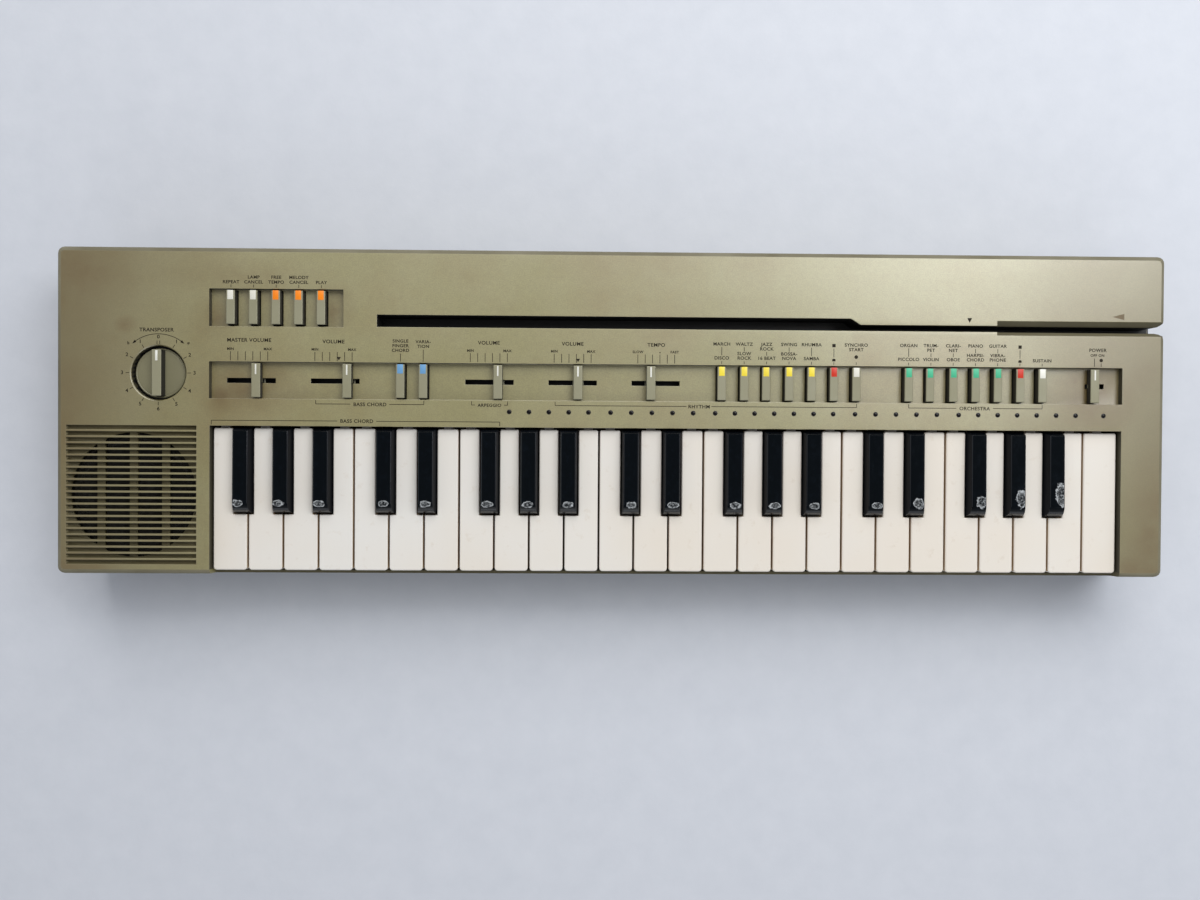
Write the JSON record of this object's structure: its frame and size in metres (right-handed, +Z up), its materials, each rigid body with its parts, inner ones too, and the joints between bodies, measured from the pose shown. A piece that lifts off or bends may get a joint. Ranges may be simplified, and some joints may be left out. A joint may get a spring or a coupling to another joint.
{
  "type": "portable keyboard",
  "caption": "Flat portable keyboard with hinged piano keys, a speaker grille, a transposer dial, slide controls, button banks, a card slot and a battery compartment.",
  "frame": {"origin": "on the table under the middle of the case", "axes": "+X to the player's right along the keys, +Y from the keys to the rear, +Z up"},
  "size_m": [0.6, 0.1778, 0.0545],
  "materials": {
    "champagne_paint": "satin champagne metallic paint over plastic",
    "dark_plastic": "fine grained",
    "cap_plastic": "satin",
    "ivory_plastic": "semi-gloss",
    "black_plastic": "gloss",
    "frame_plastic": "moulded",
    "circuit_board": "laminate with parts soldered on",
    "speaker_frame": "dark paper cone on a pressed frame"
  },
  "bodies": {
    "case": {"upper_case": "champagne_paint", "lower_case": "dark_plastic", "key_frame": "frame_plastic", "speaker": "speaker_frame", "main_board": "circuit_board"},
    "battery_cover": {"battery_cover": "dark_plastic"},
    "transposer_knob": {"transposer_knob": "cap_plastic"},
    "master_volume_slider": {"master_volume_slider": "cap_plastic"},
    "chord_volume_slider": {"chord_volume_slider": "cap_plastic"},
    "arpeggio_volume_slider": {"arpeggio_volume_slider": "cap_plastic"},
    "rhythm_volume_slider": {"rhythm_volume_slider": "cap_plastic"},
    "tempo_slider": {"tempo_slider": "cap_plastic"},
    "power_slider": {"power_slider": "cap_plastic"},
    "card_buttons": {"card_buttons": "cap_plastic"},
    "accompaniment_buttons": {"accompaniment_buttons": "cap_plastic"},
    "voice_buttons": {"voice_buttons": "cap_plastic"},
    "white_key_01": {"white_key_01": "ivory_plastic"},
    "white_key_02": {"white_key_02": "ivory_plastic"},
    "white_key_03": {"white_key_03": "ivory_plastic"},
    "white_key_04": {"white_key_04": "ivory_plastic"},
    "white_key_05": {"white_key_05": "ivory_plastic"},
    "white_key_06": {"white_key_06": "ivory_plastic"},
    "white_key_07": {"white_key_07": "ivory_plastic"},
    "white_key_08": {"white_key_08": "ivory_plastic"},
    "white_key_09": {"white_key_09": "ivory_plastic"},
    "white_key_10": {"white_key_10": "ivory_plastic"},
    "white_key_11": {"white_key_11": "ivory_plastic"},
    "white_key_12": {"white_key_12": "ivory_plastic"},
    "white_key_13": {"white_key_13": "ivory_plastic"},
    "white_key_14": {"white_key_14": "ivory_plastic"},
    "white_key_15": {"white_key_15": "ivory_plastic"},
    "white_key_16": {"white_key_16": "ivory_plastic"},
    "white_key_17": {"white_key_17": "ivory_plastic"},
    "white_key_18": {"white_key_18": "ivory_plastic"},
    "white_key_19": {"white_key_19": "ivory_plastic"},
    "white_key_20": {"white_key_20": "ivory_plastic"},
    "white_key_21": {"white_key_21": "ivory_plastic"},
    "white_key_22": {"white_key_22": "ivory_plastic"},
    "white_key_23": {"white_key_23": "ivory_plastic"},
    "white_key_24": {"white_key_24": "ivory_plastic"},
    "white_key_25": {"white_key_25": "ivory_plastic"},
    "white_key_26": {"white_key_26": "ivory_plastic"},
    "black_key_01": {"black_key_01": "black_plastic"},
    "black_key_02": {"black_key_02": "black_plastic"},
    "black_key_03": {"black_key_03": "black_plastic"},
    "black_key_04": {"black_key_04": "black_plastic"},
    "black_key_05": {"black_key_05": "black_plastic"},
    "black_key_06": {"black_key_06": "black_plastic"},
    "black_key_07": {"black_key_07": "black_plastic"},
    "black_key_08": {"black_key_08": "black_plastic"},
    "black_key_09": {"black_key_09": "black_plastic"},
    "black_key_10": {"black_key_10": "black_plastic"},
    "black_key_11": {"black_key_11": "black_plastic"},
    "black_key_12": {"black_key_12": "black_plastic"},
    "black_key_13": {"black_key_13": "black_plastic"},
    "black_key_14": {"black_key_14": "black_plastic"},
    "black_key_15": {"black_key_15": "black_plastic"},
    "black_key_16": {"black_key_16": "black_plastic"},
    "black_key_17": {"black_key_17": "black_plastic"},
    "black_key_18": {"black_key_18": "black_plastic"}
  },
  "joints": [
    {"name": "transposer_turn", "type": "hinge", "parent": "case", "child": "transposer_knob", "pos_m": [-0.2445, 0.0201, 0.0467], "axis": [0, 0, 1], "range_deg": [-150, 180]},
    {"name": "master_volume_slide", "type": "slide", "parent": "case", "child": "master_volume_slider", "axis": [1, 0, 0], "range_m": [-0.0138, 0.0062]},
    {"name": "chord_volume_slide", "type": "slide", "parent": "case", "child": "chord_volume_slider", "axis": [1, 0, 0], "range_m": [-0.0173, 0.0027]},
    {"name": "arpeggio_volume_slide", "type": "slide", "parent": "case", "child": "arpeggio_volume_slider", "axis": [1, 0, 0], "range_m": [-0.0149, 0.0051]},
    {"name": "rhythm_volume_slide", "type": "slide", "parent": "case", "child": "rhythm_volume_slider", "axis": [1, 0, 0], "range_m": [-0.0129, 0.0071]},
    {"name": "tempo_slide", "type": "slide", "parent": "case", "child": "tempo_slider", "axis": [1, 0, 0], "range_m": [-0.0072, 0.0128]},
    {"name": "power_slide", "type": "slide", "parent": "case", "child": "power_slider", "axis": [1, 0, 0], "range_m": [0, 0.0036]},
    {"name": "card_press", "type": "slide", "parent": "case", "child": "card_buttons", "axis": [0, 0, -1], "range_m": [0, 0.002], "stiffness_N_per_m": 400, "springref_m": -0.002},
    {"name": "accompaniment_press", "type": "slide", "parent": "case", "child": "accompaniment_buttons", "axis": [0, 0, -1], "range_m": [0, 0.002], "stiffness_N_per_m": 500, "springref_m": -0.002},
    {"name": "voice_press", "type": "slide", "parent": "case", "child": "voice_buttons", "axis": [0, 0, -1], "range_m": [0, 0.002], "stiffness_N_per_m": 400, "springref_m": -0.002},
    {"name": "battery_cover_slide", "type": "slide", "parent": "case", "child": "battery_cover", "axis": [0, 1, 0], "range_m": [0, 0.08]},
    {"name": "white_key_01_press", "type": "hinge", "parent": "case", "child": "white_key_01", "pos_m": [-0.20745, 0.0012, 0.04425], "axis": [1, 0, 0], "range_deg": [0, 3.4], "stiffness_Nm_per_rad": 0.43, "springref_deg": -4.01},
    {"name": "white_key_02_press", "type": "hinge", "parent": "case", "child": "white_key_02", "pos_m": [-0.18855, 0.0012, 0.04425], "axis": [1, 0, 0], "range_deg": [0, 3.4], "stiffness_Nm_per_rad": 0.43, "springref_deg": -4.01},
    {"name": "white_key_03_press", "type": "hinge", "parent": "case", "child": "white_key_03", "pos_m": [-0.16965, 0.0012, 0.04425], "axis": [1, 0, 0], "range_deg": [0, 3.4], "stiffness_Nm_per_rad": 0.43, "springref_deg": -4.01},
    {"name": "white_key_04_press", "type": "hinge", "parent": "case", "child": "white_key_04", "pos_m": [-0.15075, 0.0012, 0.04425], "axis": [1, 0, 0], "range_deg": [0, 3.4], "stiffness_Nm_per_rad": 0.43, "springref_deg": -4.01},
    {"name": "white_key_05_press", "type": "hinge", "parent": "case", "child": "white_key_05", "pos_m": [-0.13185, 0.0012, 0.04425], "axis": [1, 0, 0], "range_deg": [0, 3.4], "stiffness_Nm_per_rad": 0.43, "springref_deg": -4.01},
    {"name": "white_key_06_press", "type": "hinge", "parent": "case", "child": "white_key_06", "pos_m": [-0.11295, 0.0012, 0.04425], "axis": [1, 0, 0], "range_deg": [0, 3.4], "stiffness_Nm_per_rad": 0.43, "springref_deg": -4.01},
    {"name": "white_key_07_press", "type": "hinge", "parent": "case", "child": "white_key_07", "pos_m": [-0.09405, 0.0012, 0.04425], "axis": [1, 0, 0], "range_deg": [0, 3.4], "stiffness_Nm_per_rad": 0.43, "springref_deg": -4.01},
    {"name": "white_key_08_press", "type": "hinge", "parent": "case", "child": "white_key_08", "pos_m": [-0.07515, 0.0012, 0.04425], "axis": [1, 0, 0], "range_deg": [0, 3.4], "stiffness_Nm_per_rad": 0.43, "springref_deg": -4.01},
    {"name": "white_key_09_press", "type": "hinge", "parent": "case", "child": "white_key_09", "pos_m": [-0.05625, 0.0012, 0.04425], "axis": [1, 0, 0], "range_deg": [0, 3.4], "stiffness_Nm_per_rad": 0.43, "springref_deg": -4.01},
    {"name": "white_key_10_press", "type": "hinge", "parent": "case", "child": "white_key_10", "pos_m": [-0.03735, 0.0012, 0.04425], "axis": [1, 0, 0], "range_deg": [0, 3.4], "stiffness_Nm_per_rad": 0.43, "springref_deg": -4.01},
    {"name": "white_key_11_press", "type": "hinge", "parent": "case", "child": "white_key_11", "pos_m": [-0.01845, 0.0012, 0.04425], "axis": [1, 0, 0], "range_deg": [0, 3.4], "stiffness_Nm_per_rad": 0.43, "springref_deg": -4.01},
    {"name": "white_key_12_press", "type": "hinge", "parent": "case", "child": "white_key_12", "pos_m": [0.00045, 0.0012, 0.04425], "axis": [1, 0, 0], "range_deg": [0, 3.4], "stiffness_Nm_per_rad": 0.43, "springref_deg": -4.01},
    {"name": "white_key_13_press", "type": "hinge", "parent": "case", "child": "white_key_13", "pos_m": [0.01935, 0.0012, 0.04425], "axis": [1, 0, 0], "range_deg": [0, 3.4], "stiffness_Nm_per_rad": 0.43, "springref_deg": -4.01},
    {"name": "white_key_14_press", "type": "hinge", "parent": "case", "child": "white_key_14", "pos_m": [0.03825, 0.0012, 0.04425], "axis": [1, 0, 0], "range_deg": [0, 3.4], "stiffness_Nm_per_rad": 0.43, "springref_deg": -4.01},
    {"name": "white_key_15_press", "type": "hinge", "parent": "case", "child": "white_key_15", "pos_m": [0.05715, 0.0012, 0.04425], "axis": [1, 0, 0], "range_deg": [0, 3.4], "stiffness_Nm_per_rad": 0.43, "springref_deg": -4.01},
    {"name": "white_key_16_press", "type": "hinge", "parent": "case", "child": "white_key_16", "pos_m": [0.07605, 0.0012, 0.04425], "axis": [1, 0, 0], "range_deg": [0, 3.4], "stiffness_Nm_per_rad": 0.43, "springref_deg": -4.01},
    {"name": "white_key_17_press", "type": "hinge", "parent": "case", "child": "white_key_17", "pos_m": [0.09495, 0.0012, 0.04425], "axis": [1, 0, 0], "range_deg": [0, 3.4], "stiffness_Nm_per_rad": 0.43, "springref_deg": -4.01},
    {"name": "white_key_18_press", "type": "hinge", "parent": "case", "child": "white_key_18", "pos_m": [0.11385, 0.0012, 0.04425], "axis": [1, 0, 0], "range_deg": [0, 3.4], "stiffness_Nm_per_rad": 0.43, "springref_deg": -4.01},
    {"name": "white_key_19_press", "type": "hinge", "parent": "case", "child": "white_key_19", "pos_m": [0.13275, 0.0012, 0.04425], "axis": [1, 0, 0], "range_deg": [0, 3.4], "stiffness_Nm_per_rad": 0.43, "springref_deg": -4.01},
    {"name": "white_key_20_press", "type": "hinge", "parent": "case", "child": "white_key_20", "pos_m": [0.15165, 0.0012, 0.04425], "axis": [1, 0, 0], "range_deg": [0, 3.4], "stiffness_Nm_per_rad": 0.43, "springref_deg": -4.01},
    {"name": "white_key_21_press", "type": "hinge", "parent": "case", "child": "white_key_21", "pos_m": [0.17055, 0.0012, 0.04425], "axis": [1, 0, 0], "range_deg": [0, 3.4], "stiffness_Nm_per_rad": 0.43, "springref_deg": -4.01},
    {"name": "white_key_22_press", "type": "hinge", "parent": "case", "child": "white_key_22", "pos_m": [0.18945, 0.0012, 0.04425], "axis": [1, 0, 0], "range_deg": [0, 3.4], "stiffness_Nm_per_rad": 0.43, "springref_deg": -4.01},
    {"name": "white_key_23_press", "type": "hinge", "parent": "case", "child": "white_key_23", "pos_m": [0.20835, 0.0012, 0.04425], "axis": [1, 0, 0], "range_deg": [0, 3.4], "stiffness_Nm_per_rad": 0.43, "springref_deg": -4.01},
    {"name": "white_key_24_press", "type": "hinge", "parent": "case", "child": "white_key_24", "pos_m": [0.22725, 0.0012, 0.04425], "axis": [1, 0, 0], "range_deg": [0, 3.4], "stiffness_Nm_per_rad": 0.43, "springref_deg": -4.01},
    {"name": "white_key_25_press", "type": "hinge", "parent": "case", "child": "white_key_25", "pos_m": [0.24615, 0.0012, 0.04425], "axis": [1, 0, 0], "range_deg": [0, 3.4], "stiffness_Nm_per_rad": 0.43, "springref_deg": -4.01},
    {"name": "white_key_26_press", "type": "hinge", "parent": "case", "child": "white_key_26", "pos_m": [0.26505, 0.0012, 0.04425], "axis": [1, 0, 0], "range_deg": [0, 3.4], "stiffness_Nm_per_rad": 0.43, "springref_deg": -4.01},
    {"name": "black_key_01_press", "type": "hinge", "parent": "case", "child": "black_key_01", "pos_m": [-0.20041, 0.0012, 0.04425], "axis": [1, 0, 0], "range_deg": [0, 3.4], "stiffness_Nm_per_rad": 0.43, "springref_deg": -4.01},
    {"name": "black_key_02_press", "type": "hinge", "parent": "case", "child": "black_key_02", "pos_m": [-0.1791, 0.0012, 0.04425], "axis": [1, 0, 0], "range_deg": [0, 3.4], "stiffness_Nm_per_rad": 0.43, "springref_deg": -4.01},
    {"name": "black_key_03_press", "type": "hinge", "parent": "case", "child": "black_key_03", "pos_m": [-0.15779, 0.0012, 0.04425], "axis": [1, 0, 0], "range_deg": [0, 3.4], "stiffness_Nm_per_rad": 0.43, "springref_deg": -4.01},
    {"name": "black_key_04_press", "type": "hinge", "parent": "case", "child": "black_key_04", "pos_m": [-0.12409, 0.0012, 0.04425], "axis": [1, 0, 0], "range_deg": [0, 3.4], "stiffness_Nm_per_rad": 0.43, "springref_deg": -4.01},
    {"name": "black_key_05_press", "type": "hinge", "parent": "case", "child": "black_key_05", "pos_m": [-0.10181, 0.0012, 0.04425], "axis": [1, 0, 0], "range_deg": [0, 3.4], "stiffness_Nm_per_rad": 0.43, "springref_deg": -4.01},
    {"name": "black_key_06_press", "type": "hinge", "parent": "case", "child": "black_key_06", "pos_m": [-0.06811, 0.0012, 0.04425], "axis": [1, 0, 0], "range_deg": [0, 3.4], "stiffness_Nm_per_rad": 0.43, "springref_deg": -4.01},
    {"name": "black_key_07_press", "type": "hinge", "parent": "case", "child": "black_key_07", "pos_m": [-0.0468, 0.0012, 0.04425], "axis": [1, 0, 0], "range_deg": [0, 3.4], "stiffness_Nm_per_rad": 0.43, "springref_deg": -4.01},
    {"name": "black_key_08_press", "type": "hinge", "parent": "case", "child": "black_key_08", "pos_m": [-0.02549, 0.0012, 0.04425], "axis": [1, 0, 0], "range_deg": [0, 3.4], "stiffness_Nm_per_rad": 0.43, "springref_deg": -4.01},
    {"name": "black_key_09_press", "type": "hinge", "parent": "case", "child": "black_key_09", "pos_m": [0.00821, 0.0012, 0.04425], "axis": [1, 0, 0], "range_deg": [0, 3.4], "stiffness_Nm_per_rad": 0.43, "springref_deg": -4.01},
    {"name": "black_key_10_press", "type": "hinge", "parent": "case", "child": "black_key_10", "pos_m": [0.03049, 0.0012, 0.04425], "axis": [1, 0, 0], "range_deg": [0, 3.4], "stiffness_Nm_per_rad": 0.43, "springref_deg": -4.01},
    {"name": "black_key_11_press", "type": "hinge", "parent": "case", "child": "black_key_11", "pos_m": [0.06419, 0.0012, 0.04425], "axis": [1, 0, 0], "range_deg": [0, 3.4], "stiffness_Nm_per_rad": 0.43, "springref_deg": -4.01},
    {"name": "black_key_12_press", "type": "hinge", "parent": "case", "child": "black_key_12", "pos_m": [0.0855, 0.0012, 0.04425], "axis": [1, 0, 0], "range_deg": [0, 3.4], "stiffness_Nm_per_rad": 0.43, "springref_deg": -4.01},
    {"name": "black_key_13_press", "type": "hinge", "parent": "case", "child": "black_key_13", "pos_m": [0.10681, 0.0012, 0.04425], "axis": [1, 0, 0], "range_deg": [0, 3.4], "stiffness_Nm_per_rad": 0.43, "springref_deg": -4.01},
    {"name": "black_key_14_press", "type": "hinge", "parent": "case", "child": "black_key_14", "pos_m": [0.14051, 0.0012, 0.04425], "axis": [1, 0, 0], "range_deg": [0, 3.4], "stiffness_Nm_per_rad": 0.43, "springref_deg": -4.01},
    {"name": "black_key_15_press", "type": "hinge", "parent": "case", "child": "black_key_15", "pos_m": [0.16279, 0.0012, 0.04425], "axis": [1, 0, 0], "range_deg": [0, 3.4], "stiffness_Nm_per_rad": 0.43, "springref_deg": -4.01},
    {"name": "black_key_16_press", "type": "hinge", "parent": "case", "child": "black_key_16", "pos_m": [0.19649, 0.0012, 0.04425], "axis": [1, 0, 0], "range_deg": [0, 3.4], "stiffness_Nm_per_rad": 0.43, "springref_deg": -4.01},
    {"name": "black_key_17_press", "type": "hinge", "parent": "case", "child": "black_key_17", "pos_m": [0.2178, 0.0012, 0.04425], "axis": [1, 0, 0], "range_deg": [0, 3.4], "stiffness_Nm_per_rad": 0.43, "springref_deg": -4.01},
    {"name": "black_key_18_press", "type": "hinge", "parent": "case", "child": "black_key_18", "pos_m": [0.23911, 0.0012, 0.04425], "axis": [1, 0, 0], "range_deg": [0, 3.4], "stiffness_Nm_per_rad": 0.43, "springref_deg": -4.01}
  ]
}
